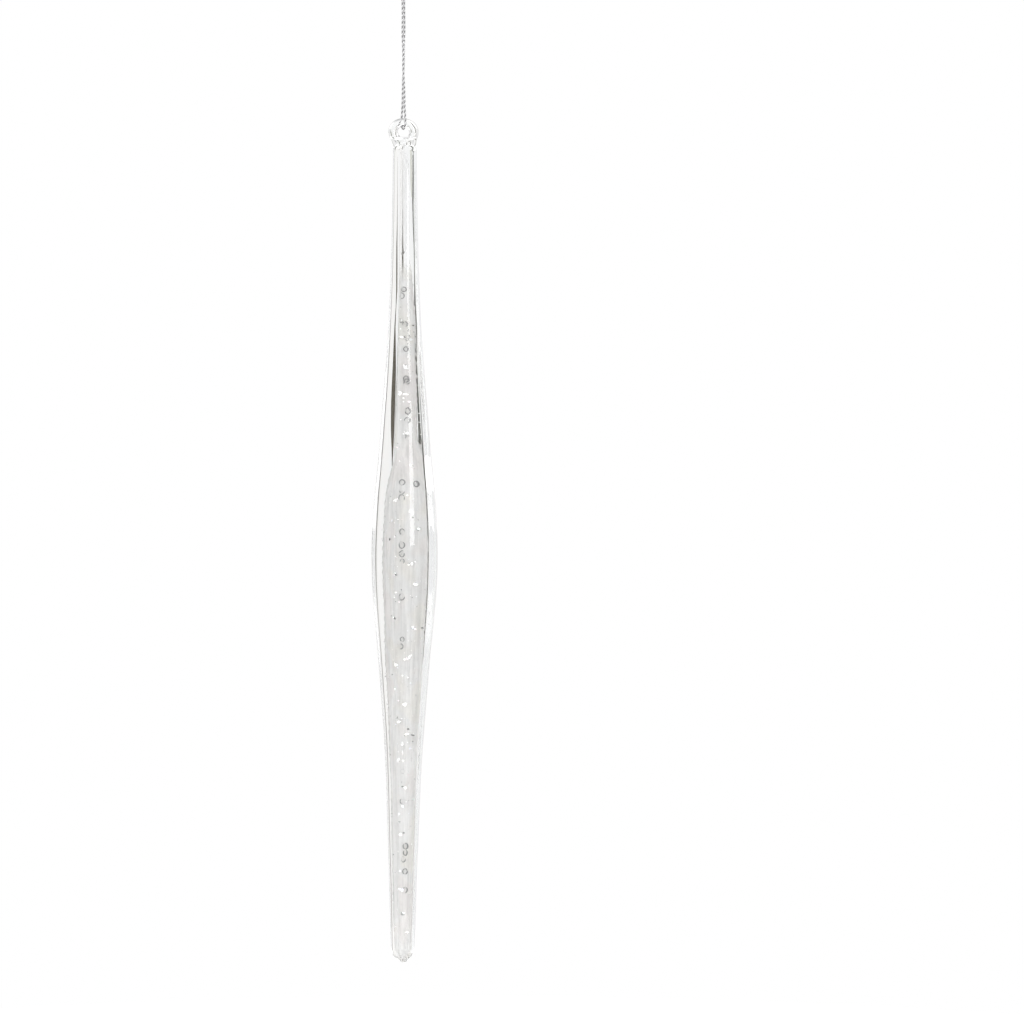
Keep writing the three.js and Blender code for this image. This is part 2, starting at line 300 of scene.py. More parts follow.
def knot_line(side, tail):
    t = np.linspace(-1.85, 1.85, 90)
    over = np.stack([0.31 * (t**4 - 4 * t**2 + 2.0), 0.094 * (t**5 - 10 * t), 0.43 * (t**3 - 3 * t)], -1)
    over = over + np.array([0.05, 0.24, 0.14]) * side + np.array([0, 0, KNOT_Z])
    foot = strand(-1 if side < 0 else 1, 0.0)
    below = strand(-1 if side < 0 else 1, -0.5)
    mouth = (foot[0] * 0.6, foot[1] * 0.6, 0.85)
    out = (0.10 * side, 0.30 * side, KNOT_Z + 1.35)
    rise = (tail[0] * 0.55, tail[1] * 0.6, KNOT_Z + 3.2)
    return smooth_line([below, foot, mouth, *over, out, rise, (tail[0], tail[1], TAIL_TOP_Z)])


parts = [twisted(knot_line(side, tail), turn=turn, out=0.205, r=0.225) for side, tail, turn in ((1, (1.45, 0.4), 0.4), (-1, (-1.25, -0.45), 1.7))]
kv, kf, kuv = [], [], []
for v, f, uv, _ in parts:
    base = sum(len(x) for x in kv)
    kf += [[x + base for x in face] for face in f]
    kv.append(v)
    kuv.append(uv)
knot = mesh_object("cord_knot_tied", np.concatenate(kv), kf)
thread_attributes(knot, np.concatenate(kuv))

# ------------------------------------------------------------------ glass body: five soft lobes, drawn out by hand, with the air bore in its neck
rng = np.random.default_rng(7)
WAVES = [(rng.uniform(0.02, 0.11), rng.integers(1, 5), rng.uniform(0, 6.28), rng.uniform(0, 6.28), rng.uniform(0.25, 1.0)) for _ in range(14)]


def waver(ang, z):
    w = sum(a * np.sin(k * z + p) * np.cos(m * ang + q) for k, m, p, q, a in WAVES)
    return 1 + 0.0016 * w


def lobe(ang, z):
    """1 on the ridges and less in the valleys, each lobe a round, valleys a little softened. Round below the last bulge."""
    u = (ang - RIDGE) * LOBES / (2 * math.pi)
    t = (u - np.round(u)) * 2 * math.pi / LOBES
    f = LOBE_OUT * np.cos(t) + np.sqrt(0.61**2 - (LOBE_OUT * np.sin(t)) ** 2)
    edge = math.pi / LOBES
    soft = 0.06
    d = edge - np.abs(t)
    slope = 0.55
    f = f + slope * soft * 0.5 * np.clip(1 - d / soft, 0, 1) ** 2
    fade = np.clip((z + 349.6) / 2.0, 0, 1)
    fade = fade * fade * (3 - 2 * fade)
    top = np.clip((-56.4 - z) / 2.5, 0, 1)
    return (1 + (f - 1) * fade * (0.35 + 0.65 * top)) * waver(ang, z)


SIDES = 240
zs = np.concatenate([np.linspace(-57.6, -345.0, 330)])
profile = [(NECK_TOP_Z, 0.001), (NECK_TOP_Z, 1.4), (NECK_TOP_Z, 2.8), (NECK_TOP_Z, 3.88), (-56.5, 3.97), (-56.72, 4.12), (-57.05, 4.29)]
JOINT_ROWS = 3  # the rows of faces that are fused to the ring's foot
profile += [(z, float(body_r(z))) for z in zs]
tip = [(-345.9, 4.38), (-346.8, 4.29), (-347.6, 4.16), (-348.1, 4.02), (-348.5, 3.78), (-348.85, 3.42), (-349.1, 3.04), (-349.35, 2.6), (-349.6, 2.16)]
tip += [(-349.85, 1.8), (-350.1, 1.56), (-350.35, 1.42), (-350.6, 1.28), (-350.8, 1.04), (-350.93, 0.72), (-350.99, 0.38), (-351.0, 0.001)]
profile += tip
v, f = revolve(profile, SIDES, lobe)
v = drift(v)
f += [list(range(SIDES))[::-1][::-1]]
last = (len(profile) - 1) * SIDES
f += [[last + x for x in range(SIDES)][::-1]]
# bore: its wall faces inwards
BORE_TOP, BORE_END = -56.95, LINER_TOP_Z
bp = [(BORE_TOP, 0.001), (BORE_TOP - 0.1, 0.1), (BORE_TOP - 0.5, 0.25), (BORE_TOP - 1.3, 0.47), (BORE_TOP - 2.6, 0.7), (BORE_TOP - 4.2, 0.87), (BORE_TOP - 6.0, 0.95)]
for z in np.linspace(-64.5, BORE_END + 0.3, 90):
    near_end = min(1.0, (z - BORE_END) / 9.0)
    bp.append((z, float(bore_r(z)) * math.sin(near_end * math.pi / 2) ** 0.9))
bp.append((BORE_END + 0.15, 0.001))
bv, bf = revolve(bp, 72, lambda a, z: waver(a * 1.0, z * 1.7))
bv = drift(bv)
base = len(v)
bf = [[x + base for x in face][::-1] for face in bf]
bf += [[base + x for x in range(72)][::-1], [base + (len(bp) - 1) * 72 + x for x in range(72)]]
body = mesh_object("glass_body_lobed", np.concatenate([v, bv]), f + bf)
JOINT_FACES = list(range(JOINT_ROWS * SIDES)) + [(len(profile) - 1) * SIDES]

# ------------------------------------------------------------------ ring and its foot, one smooth casting
RING_Z = RING_CROWN_Z - RING_TUBE_R - RING_R
FOOT = np.array([(-56.6, 0.0), (-56.6, 3.88), (-56.38, 3.9), (-56.1, 4.02), (-55.3, 4.3), (-54.3, 4.42), (-53.6, 4.05), (-53.2, 3.0), (-53.05, 1.2), (-53.05, 0.0)])


def sd_ring(p):
    x, y, z = p[:, 0] / RING_WIDEN, p[:, 1], p[:, 2] - RING_Z
    q = np.sqrt(x * x + z * z) - RING_R
    return np.sqrt(q * q + y * y) - RING_TUBE_R


def sd_foot(p):
    c = p - at(DRIFT, p[:, 2])[:, None] * RIGHT
    r = np.sqrt(c[:, 0] ** 2 + c[:, 1] ** 2)
    P = np.stack([r, p[:, 2]], -1)
    poly = FOOT[:, ::-1]
    n = len(poly)
    d = np.full(len(P), 1e9)
    s = np.ones(len(P))
    for i in range(n):
        a, b = poly[i], poly[(i + 1) % n]
        e, w = b - a, P - a
        h = np.clip((w @ e) / (e @ e + 1e-12), 0, 1)
        d = np.minimum(d, np.linalg.norm(w - h[:, None] * e, axis=1))
        c1, c2, c3 = P[:, 1] >= a[1], P[:, 1] < b[1], e[0] * w[:, 1] > e[1] * w[:, 0]
        s = np.where((c1 & c2 & c3) | (~c1 & ~c2 & ~c3), -s, s)
    # the axis side is no edge
    axis_only = np.abs(d - r) < 1e-9
    return s * np.where(axis_only, np.minimum(np.abs(P[:, 1] + 53.05), np.abs(P[:, 1] + 56.6)), d)


def sd_all(p):
    a, b = sd_ring(p), sd_foot(p)
    k = 1.0
    h = np.clip(0.5 + 0.5 * (b - a) / k, 0, 1)
    m = b * (1 - h) + a * h - k * h * (1 - h)
    flat = -(p[:, 2] + 56.38)  # cut flat where it stands on the neck
    return np.maximum(m, flat)


def surface_nets(sd, lo, hi, step):
    """The zero surface of a distance function on a grid, one vertex in each crossed cell, then drawn onto the surface."""
    n = [int(math.ceil((hi[i] - lo[i]) / step)) + 1 for i in range(3)]
    ax = [lo[i] + step * np.arange(n[i]) for i in range(3)]
    g = np.stack(np.meshgrid(*ax, indexing="ij"), -1).reshape(-1, 3)
    val = sd(g).reshape(n)
    ins = val < 0
    cnt = np.zeros([k - 1 for k in n], int)
    acc = np.zeros([k - 1 for k in n] + [3])
    for axis in range(3):
        sl0 = [slice(None)] * 3
        sl1 = [slice(None)] * 3
        sl0[axis], sl1[axis] = slice(0, -1), slice(1, None)
        v0, v1 = val[tuple(sl0)], val[tuple(sl1)]
        cross = (v0 < 0) != (v1 < 0)
        tt = np.where(cross, v0 / np.where(cross, v0 - v1, 1), 0)
        others = [a for a in range(3) if a != axis]
        idx = np.indices(v0.shape).astype(float)
        pos = np.moveaxis(idx, 0, -1)
        pos[..., axis] += tt
        for d0 in (0, 1):
            for d1 in (0, 1):
                src = [slice(None)] * 3
                src[others[0]] = slice(d0, n[others[0]] - 1 + d0)
                src[others[1]] = slice(d1, n[others[1]] - 1 + d1)
                c = cross[tuple(src)]
                cnt += c
                acc += np.where(c[..., None], pos[tuple(src)], 0)
    used = cnt > 0
    ids = -np.ones(cnt.shape, int)
    ids[used] = np.arange(used.sum())
    verts = acc[used] / cnt[used][:, None] * step + np.array(lo)
    faces = []
    for axis in range(3):
        o = [a for a in range(3) if a != axis]
        sl0 = [slice(1, -1)] * 3
        sl1 = [slice(1, -1)] * 3
        sl0[axis], sl1[axis] = slice(0, -1), slice(1, None)
        a0, a1 = ins[tuple(sl0)], ins[tuple(sl1)]
        where = np.argwhere(a0 != a1)
        up = a0[a0 != a1]
        for (i, j, k), flip in zip(where, up):
            c = [i, j, k]
            for a in o:
                c[a] += 1
            q = []
            for s0, s1 in ((-1, -1), (0, -1), (0, 0), (-1, 0)):
                cc = list(c)
                cc[o[0]] += s0
                cc[o[1]] += s1
                q.append(ids[tuple(cc)])
            if (axis == 1) != bool(flip):
                q = q[::-1]
            faces.append(q)
    for _ in range(6):
        e = 0.02
        d = sd(verts)
        grad = np.stack([(sd(verts + np.eye(3)[a] * e) - sd(verts - np.eye(3)[a] * e)) / (2 * e) for a in range(3)], -1)
        g2 = np.maximum((grad**2).sum(1), 0.25)
        verts = verts - 0.8 * (d / g2)[:, None] * grad
    return verts, faces


rv, rf = surface_nets(sd_all, (-6.1, -5.2, -57.2), (6.4, 5.2, -45.6), 0.16)
ring = mesh_object("hanging_ring_cast", rv, rf)

# ------------------------------------------------------------------ frost core, bonded to the glass below the bore
def grain_r(ang, z):
    return 1 + 0.012 * np.sin(z * 1.9 + 3 * ang) * np.sin(z * 0.37 + 5 * ang) + 0.008 * np.sin(7 * ang + z * 0.2)


lz = np.linspace(LINER_TOP_Z - 2.0, -345.5, 320)
top_r = float(bore_r(LINER_TOP_Z - 2.0)) - LINER_GAP
lp = [(LINER_TOP_Z - 0.3, 0.001), (LINER_TOP_Z - 0.35, top_r * 0.3), (LINER_TOP_Z - 0.6, top_r * 0.6), (LINER_TOP_Z - 1.1, top_r * 0.86), (LINER_TOP_Z - 1.6, top_r * 0.97)]
lp += [(z, float(bore_r(z)) - LINER_GAP) for z in lz]
lp += [(-346.4, 1.95), (-347.3, 1.7), (-348.0, 1.35), (-348.5, 0.92), (-348.72, 0.5), (-348.8, 0.2), (-348.82, 0.001)]
LS = 120
lv, lf = revolve(lp, LS, grain_r)
lv = drift(lv)
lf += [list(range(LS)), [(len(lp) - 1) * LS + x for x in range(LS)][::-1]]
liner = mesh_object("frost_liner_grained", lv, lf)


def on_frost(z, ang, lift=0.0):
    """A point on the frost's outside at a height and an angle about Z, and its outward normal."""
    r = float(bore_r(z)) - LINER_GAP
    n = np.array([math.cos(ang), math.sin(ang), 0.0])
    slope = (float(bore_r(z + 0.5)) - float(bore_r(z - 0.5))) / 1.0
    nn = np.array([n[0], n[1], -slope])
    nn /= np.linalg.norm(nn)
    p = n * (r + lift) + float(at(DRIFT, z)) * RIGHT
    p[2] = z
    return p, nn


def around(nn):
    t = np.cross([0, 0, 1.0], nn)
    t /= np.linalg.norm(t)
    return t, np.cross(nn, t)


# ------------------------------------------------------------------ beads: small blown drops lying against the frost
def drop(center, n, wide, tall, thick, seed):
    r = np.random.default_rng(seed)
    t, b = around(n)
    rows, cols = 14, 22
    vs = []
    for i in range(rows):
        th = math.pi * (i + 0.5) / rows
        for j in range(cols):
            ph = 2 * math.pi * j / cols
            x, y, z = math.sin(th) * math.cos(ph), math.sin(th) * math.sin(ph), math.cos(th)
            s = 1 + 0.05 * math.sin(2 * ph + seed) * math.sin(th)
            vs.append(center + t * x * wide * s + n * y * thick * s + b * z * tall * (1 + 0.05 * math.sin(seed * 3 + ph)))
    fs = grid_faces(rows, cols)
    fs += [[x for x in range(cols)], [(rows - 1) * cols + x for x in range(cols)][::-1]]
    return np.array(vs), fs


MORE_DROPS = [(-110.5, -0.3), (-119.5, -0.4), (-123.0, 0.6), (-125.5, 0.9), (-141.5, 0.95), (-155.5, 1.15), (-162.0, 1.3), (-178.5, 3.4), (-183.5, -0.05), (-195.6, 0.15), (-206.0, 0.2), (-236.5, -0.25), (-311.0, 0.95), (-324.5, 0.9)]
beads = {}
bead_names = sorted(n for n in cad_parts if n.startswith("ice_bead_"))
bead_mid = {n: (np.array(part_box(n)[0]) + np.array(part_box(n)[1])) / 2 / MM for n in bead_names}
for name in bead_names:
    c = bead_mid[name]
    off = c - float(at(DRIFT, c[2])) * RIGHT
    todo = [(c[2], float(off[:2] @ RIGHT[:2]))]
    todo += [q for q in MORE_DROPS if min(bead_names, key=lambda n: abs(bead_mid[n][2] - q[0])) == name]
    vs, fs = [], []
    for k, (z, x) in enumerate(todo):
        rl = float(bore_r(z)) - LINER_GAP
        x = max(-0.8 * rl, min(0.8 * rl, x))
        ang = math.atan2(OUT[1], OUT[0]) + math.asin(x / rl)
        seed = int(name[-2:]) + 40 * k
        r = np.random.default_rng(100 + seed)
        wide = min(r.uniform(0.62, 0.84), rl * 0.42)
        tall = wide * r.uniform(1.25, 1.7)
        p, n = on_frost(z, ang, 0.12)
        v, f = drop(p, n, wide, tall, min(0.45, wide * 0.6), seed)
        fs += [[q + len(vs) for q in face] for face in f]
        vs += list(v)
    beads[name] = mesh_object(name.replace("ice_bead", "ice_bead_drop"), vs, fs)

# ------------------------------------------------------------------ glitter: each flake with the fine glitter spilled about it
def chip(center, n, size, sides, thick, r, up=None):
    t, b = around(n)
    a0 = r.uniform(0, 6.28)
    k = [r.uniform(0.6, 1.15) for _ in range(sides)]
    long_, turn = r.uniform(1.0, 1.5), r.uniform(0, math.pi)
    flat = [(long_ * size * k[i] * math.cos(a0 + 2 * math.pi * i / sides), size / long_ * k[i] * math.sin(a0 + 2 * math.pi * i / sides)) for i in range(sides)]
    ring_ = [(x * math.cos(turn) - y * math.sin(turn), x * math.sin(turn) + y * math.cos(turn)) for x, y in flat]
    lean_t, lean_b = r.uniform(-0.35, 0.35), r.uniform(-0.35, 0.35)
    if up is not None:
        lean_t, lean_b = r.uniform(-0.2, 0.2), r.uniform(*up)
    nn = n + t * lean_t + b * lean_b
    nn /= np.linalg.norm(nn)
    t2 = np.cross(b, nn)
    t2 /= np.linalg.norm(t2)
    b2 = np.cross(nn, t2)
    top = [center + t2 * x + b2 * y + nn * thick for x, y in ring_]
    bot = [center + t2 * x + b2 * y for x, y in ring_]
    fs = [list(range(sides)), [sides + i for i in range(sides)][::-1]]
    fs += [[i, sides + i, sides + (i + 1) % sides, (i + 1) % sides] for i in range(sides)]
    return top + bot, fs


names = sorted(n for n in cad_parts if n.startswith("glitter_flake_"))
where = {}
for name in names:
    lo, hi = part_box(name)
    where[name] = (np.array(lo) + np.array(hi)) / 2 / MM
dust = {name: [] for name in names}
r = np.random.default_rng(21)
for _ in range(1500):
    z = r.uniform(-342.0, -103.0)
    # more of it where the core is wide
    if r.uniform() > 0.25 + 0.75 * (float(bore_r(z)) - 1.0) / 5.0:
        continue
    ang = r.uniform(0, 2 * math.pi)
    size = 0.055 + 0.16 * r.uniform() ** 3
    near = min(names, key=lambda q: abs(where[q][2] - z))
    dust[near].append((z, ang, size))
for _ in range(340):
    z = r.uniform(-344.0, -104.0)
    if r.uniform() > 0.3 + 0.7 * (float(bore_r(z)) - 1.0) / 5.0:
        continue
    near = min(names, key=lambda q: abs(where[q][2] - z))
    dust[near].append((z, r.uniform(0, 2 * math.pi), 0.17 + 0.33 * r.uniform() ** 2))
flakes = {}
for name in names:
    c = where[name]
    z = c[2]
    off = c - float(at(DRIFT, z)) * RIGHT
    rl = float(bore_r(z)) - LINER_GAP
    x = max(-0.85 * rl, min(0.85 * rl, float(off[:2] @ RIGHT[:2])))
    ang = math.atan2(OUT[1], OUT[0]) + math.asin(x / rl)
    rr = np.random.default_rng(300 + int(name[-2:]))
    vs, fs, tint = [], [], []
    todo = [(z, ang, float(rr.uniform(0.42, 0.62)))]
    for _ in range(int(rr.integers(2, 5))):
        todo.append((z + float(rr.uniform(-0.75, 0.75)), ang + float(rr.uniform(-0.85, 0.85)) / max(rl, 1.2), float(rr.uniform(0.2, 0.42))))
    heap = len(todo)
    todo += dust[name]
    for k, (zz, aa, size) in enumerate(todo):
        p, n = on_frost(zz, aa, 0.05 + (0.05 if k else 0.09) + 0.12 * size)
        v, f = chip(p, n, size, int(rr.integers(4, 7)), 0.03, rr, (0.14, 0.34) if k < heap or size > 0.24 else None)
        fs += [[q + len(vs) for q in face] for face in f]
        vs += v
        tint += [rr.uniform()] * len(v)
    ob = mesh_object(name.replace("glitter_flake", "glitter_spill"), vs, fs, smooth=False)
    a = ob.data.attributes.new("tint", "FLOAT", "POINT")
    a.data.foreach_set("value", np.array(tint, np.float32))
    flakes[name] = ob

# ------------------------------------------------------------------ materials
# clear glass, drawn lengthwise: faint draw lines in its surface
m_glass, nt, out = node_mat("clear_glass")
b = add(nt, "ShaderNodeBsdfPrincipled")
b.inputs["Base Color"].default_value = (0.985, 0.992, 0.988, 1)
b.inputs["Transmission Weight"].default_value = 1.0
b.inputs["IOR"].default_value = 1.5
n1 = add(nt, "ShaderNodeTexNoise", Scale=1.0, Detail=2.0, Roughness=0.5)
nt.links.new(coords(nt, (380, 380, 7)), n1.inputs["Vector"])
rr_ = ramp(nt, [(0.35, (0.0, 0.0, 0.0)), (0.75, (0.03, 0.03, 0.03))])
nt.links.new(n1.outputs["Fac"], rr_.inputs["Fac"])
nt.links.new(rr_.outputs["Color"], b.inputs["Roughness"])
bump = add(nt, "ShaderNodeBump", Strength=0.04, Distance=0.00015)
nt.links.new(n1.outputs["Fac"], bump.inputs["Height"])
nt.links.new(bump.outputs["Normal"], b.inputs["Normal"])
nt.links.new(b.outputs["BSDF"], out.inputs["Surface"])
body.data.materials.append(m_glass)

# the fine bore above the frost hardly shows: the thinnest film of the frost lies on its wall, which bends light only a little
m_bore, nt, out = node_mat("bore_wall")
b = add(nt, "ShaderNodeBsdfPrincipled", Roughness=0.0)
b.inputs["Base Color"].default_value = (0.97, 0.97, 0.97, 1)
b.inputs["IOR"].default_value = 1.03
film = add(nt, "ShaderNodeTexNoise", Scale=1.0, Detail=1.0, Roughness=0.4)
nt.links.new(coords(nt, (150, 150, 25)), film.inputs["Vector"])
clear = ramp(nt, [(0.3, (0.86, 0.86, 0.86)), (0.7, (0.78, 0.78, 0.78))])
nt.links.new(film.outputs["Fac"], clear.inputs["Fac"])
nt.links.new(clear.outputs["Color"], b.inputs["Transmission Weight"])
n1 = add(nt, "ShaderNodeTexNoise", Scale=1.0, Detail=2.0, Roughness=0.5)
nt.links.new(coords(nt, (380, 380, 7)), n1.inputs["Vector"])
bump = add(nt, "ShaderNodeBump", Strength=0.04, Distance=0.00015)
nt.links.new(n1.outputs["Fac"], bump.inputs["Height"])
nt.links.new(bump.outputs["Normal"], b.inputs["Normal"])
nt.links.new(b.outputs["BSDF"], out.inputs["Surface"])

m_ring, nt, out = node_mat("clear_glass_ring")
b = add(nt, "ShaderNodeBsdfPrincipled")
b.inputs["Base Color"].default_value = (0.985, 0.992, 0.988, 1)
b.inputs["Transmission Weight"].default_value = 1.0
b.inputs["IOR"].default_value = 1.5
n1 = add(nt, "ShaderNodeTexNoise", Scale=1.0, Detail=3.0, Roughness=0.5)
nt.links.new(coords(nt, (210, 210, 170)), n1.inputs["Vector"])
rr_ = ramp(nt, [(0.4, (0.0, 0.0, 0.0)), (0.8, (0.03, 0.03, 0.03))])
nt.links.new(n1.outputs["Fac"], rr_.inputs["Fac"])
nt.links.new(rr_.outputs["Color"], b.inputs["Roughness"])
bump = add(nt, "ShaderNodeBump", Strength=0.12, Distance=0.0004)
nt.links.new(n1.outputs["Fac"], bump.inputs["Height"])
nt.links.new(bump.outputs["Normal"], b.inputs["Normal"])
nt.links.new(b.outputs["BSDF"], out.inputs["Surface"])
ring.data.materials.append(m_ring)

# where ring and body are melted together there is no surface to see: the faces that meet there don't bend light
m_join, nt, out = node_mat("fused_glass")
b = add(nt, "ShaderNodeBsdfPrincipled", Roughness=0.0)
b.inputs["Transmission Weight"].default_value = 1.0
b.inputs["IOR"].default_value = 1.0
b.inputs["Specular IOR Level"].default_value = 0.0
nt.links.new(b.outputs["BSDF"], out.inputs["Surface"])
body.data.materials.append(m_join)
ring.data.materials.append(m_join)
for i in JOINT_FACES:
    body.data.polygons[i].material_index = 1
body.data.materials.append(m_bore)
for poly in body.data.polygons:
    at_z = poly.center.z / MM
    if at_z > LINER_TOP_Z + 0.2 and math.hypot(poly.center.x, poly.center.y) / MM < 2.2 and poly.material_index == 0:
        poly.material_index = 2
for poly in ring.data.polygons:
    if all(ring.data.vertices[k].co.z < -56.36 * MM for k in poly.vertices):
        poly.material_index = 1

# frost: fine ground grain, streaks along the draw, faint warm and cool patches
m_frost, nt, out = node_mat("frost")
b = add(nt, "ShaderNodeBsdfPrincipled", Roughness=0.9)
b.inputs["Specular IOR Level"].default_value = 0.0
grain = add(nt, "ShaderNodeTexNoise", Scale=1.0, Detail=6.0, Roughness=0.6)
nt.links.new(coords(nt, (2600, 2600, 1500)), grain.inputs["Vector"])
streak = add(nt, "ShaderNodeTexNoise", Scale=1.0, Detail=5.0, Roughness=0.6)
nt.links.new(coords(nt, (900, 900, 40)), streak.inputs["Vector"])
patch = add(nt, "ShaderNodeTexNoise", Scale=1.0, Detail=1.0, Roughness=0.4)
nt.links.new(coords(nt, (150, 150, 70)), patch.inputs["Vector"])
blotch = add(nt, "ShaderNodeTexNoise", Scale=1.0, Detail=2.0, Roughness=0.5)
nt.links.new(coords(nt, (420, 420, 330)), blotch.inputs["Vector"])
tone = ramp(nt, [(0.30, (0.86, 0.853, 0.842)), (0.5, (0.915, 0.909, 0.899)), (0.70, (0.965, 0.96, 0.952))])
mixa = add(nt, "ShaderNodeMix", data_type="FLOAT")
mixa.inputs[0].default_value = 0.65
nt.links.new(streak.outputs["Fac"], mixa.inputs[2])
nt.links.new(blotch.outputs["Fac"], mixa.inputs[3])
mixv = add(nt, "ShaderNodeMix", data_type="FLOAT")
mixv.inputs[0].default_value = 0.4
nt.links.new(mixa.outputs[0], mixv.inputs[2])
nt.links.new(grain.outputs["Fac"], mixv.inputs[3])
nt.links.new(mixv.outputs[0], tone.inputs["Fac"])
tints = ramp(nt, [(0.28, (0.985, 0.96, 0.96)), (0.40, (0.995, 0.975, 0.965)), (0.47, (1.0, 1.0, 1.0)), (0.56, (1.0, 1.0, 1.0)), (0.66, (1.0, 0.985, 0.955)), (0.78, (0.985, 0.985, 0.95))])
nt.links.new(patch.outputs["Fac"], tints.inputs["Fac"])
mul = add(nt, "ShaderNodeMix", data_type="RGBA", blend_type="MULTIPLY")
mul.inputs[0].default_value = 1.0
nt.links.new(tone.outputs["Color"], mul.inputs[6])
nt.links.new(tints.outputs["Color"], mul.inputs[7])
spot = add(nt, "ShaderNodeTexCoord")
level = add(nt, "ShaderNodeSeparateXYZ")
nt.links.new(spot.outputs["Object"], level.inputs[0])
pale = add(nt, "ShaderNodeMapRange")
nt.links.new(level.outputs["Z"], pale.inputs["Value"])
pale.inputs["From Min"].default_value = -0.205
pale.inputs["From Max"].default_value = -0.30
pale.inputs["To Min"].default_value = 1.0
pale.inputs["To Max"].default_value = 1.11
paler = add(nt, "ShaderNodeVectorMath", operation="SCALE")
nt.links.new(mul.outputs[2], paler.inputs[0])
nt.links.new(pale.outputs["Result"], paler.inputs["Scale"])
nt.links.new(paler.outputs["Vector"], b.inputs["Base Color"])
alpha = ramp(nt, [(0.3, (0.8, 0.8, 0.8)), (0.6, (1.0, 1.0, 1.0))])
nt.links.new(streak.outputs["Fac"], alpha.inputs["Fac"])
lw = add(nt, "ShaderNodeLayerWeight", Blend=0.5)
thin = ramp(nt, [(0.0, (0.96, 0.96, 0.96)), (0.7, (0.92, 0.92, 0.92)), (0.92, (0.6, 0.6, 0.6)), (1.0, (0.2, 0.2, 0.2))])
nt.links.new(lw.outputs["Facing"], thin.inputs["Fac"])
am = add(nt, "ShaderNodeMath", operation="MULTIPLY")
nt.links.new(alpha.outputs["Color"], am.inputs[0])
nt.links.new(thin.outputs["Color"], am.inputs[1])
# it starts in streaks at the top
place = add(nt, "ShaderNodeTexCoord")
height = add(nt, "ShaderNodeSeparateXYZ")
nt.links.new(place.outputs["Object"], height.inputs[0])
drop_ = add(nt, "ShaderNodeMapRange")
nt.links.new(height.outputs["Z"], drop_.inputs["Value"])
drop_.inputs["From Min"].default_value = -0.0965
drop_.inputs["From Max"].default_value = -0.112
starts = add(nt, "ShaderNodeTexNoise", Scale=1.0, Detail=3.0, Roughness=0.6)
nt.links.new(coords(nt, (1300, 1300, 60)), starts.inputs["Vector"])
sum_ = add(nt, "ShaderNodeMath", operation="MULTIPLY_ADD")
nt.links.new(drop_.outputs["Result"], sum_.inputs[0])
sum_.inputs[1].default_value = 1.5
nt.links.new(starts.outputs["Fac"], sum_.inputs[2])
begun = add(nt, "ShaderNodeMapRange", interpolation_type="SMOOTHSTEP")
nt.links.new(sum_.outputs[0], begun.inputs["Value"])
begun.inputs["From Min"].default_value = 0.52
begun.inputs["From Max"].default_value = 1.4
am2 = add(nt, "ShaderNodeMath", operation="MULTIPLY")
nt.links.new(am.outputs[0], am2.inputs[0])
nt.links.new(begun.outputs["Result"], am2.inputs[1])
nt.links.new(am2.outputs[0], b.inputs["Alpha"])
bump = add(nt, "ShaderNodeBump", Strength=0.5, Distance=0.0001)
nt.links.new(grain.outputs["Fac"], bump.inputs["Height"])
nt.links.new(bump.outputs["Normal"], b.inputs["Normal"])
nt.links.new(b.outputs["BSDF"], out.inputs["Surface"])
liner.data.materials.append(m_frost)

# beads: clear drops; their colour is painted shade, dark where their edge turns away from the view and light in the
# middle
m_bead, nt, out = node_mat("bead_glass")
b = add(nt, "ShaderNodeBsdfPrincipled", Roughness=0.05)
lw = add(nt, "ShaderNodeLayerWeight", Blend=0.35)
# painted shade: the drop's colour goes dark grey as its surface turns away from the view, standing in for the dark rim
# of a drop
edge = ramp(nt, [(0.06, (0.95, 0.95, 0.95)), (0.2, (0.30, 0.305, 0.30)), (0.5, (0.12, 0.122, 0.12)), (0.9, (0.05, 0.052, 0.05))])
nt.links.new(lw.outputs["Facing"], edge.inputs["Fac"])
speck = add(nt, "ShaderNodeTexNoise", Scale=1.0, Detail=3.0)
nt.links.new(coords(nt, (900, 900, 700)), speck.inputs["Vector"])
mul = add(nt, "ShaderNodeMix", data_type="RGBA", blend_type="MULTIPLY")
mul.inputs[0].default_value = 0.35
nt.links.new(edge.outputs["Color"], mul.inputs[6])
nt.links.new(speck.outputs["Fac"], mul.inputs[7])
nt.links.new(mul.outputs[2], b.inputs["Base Color"])
al = ramp(nt, [(0.05, (0.1, 0.1, 0.1)), (0.2, (1.0, 1.0, 1.0)), (1.0, (1, 1, 1))])
nt.links.new(lw.outputs["Facing"], al.inputs["Fac"])
broken = add(nt, "ShaderNodeTexNoise", Scale=1.0, Detail=1.0)
nt.links.new(coords(nt, (700, 700, 420)), broken.inputs["Vector"])
gate = ramp(nt, [(0.44, (0.05, 0.05, 0.05)), (0.52, (1.0, 1.0, 1.0))])
nt.links.new(broken.outputs["Fac"], gate.inputs["Fac"])
am = add(nt, "ShaderNodeMath", operation="MULTIPLY")
nt.links.new(al.outputs["Color"], am.inputs[0])
nt.links.new(gate.outputs["Color"], am.inputs[1])
nt.links.new(am.outputs[0], b.inputs["Alpha"])
nt.links.new(b.outputs["BSDF"], out.inputs["Surface"])
for ob in beads.values():
    ob.data.materials.append(m_bead)
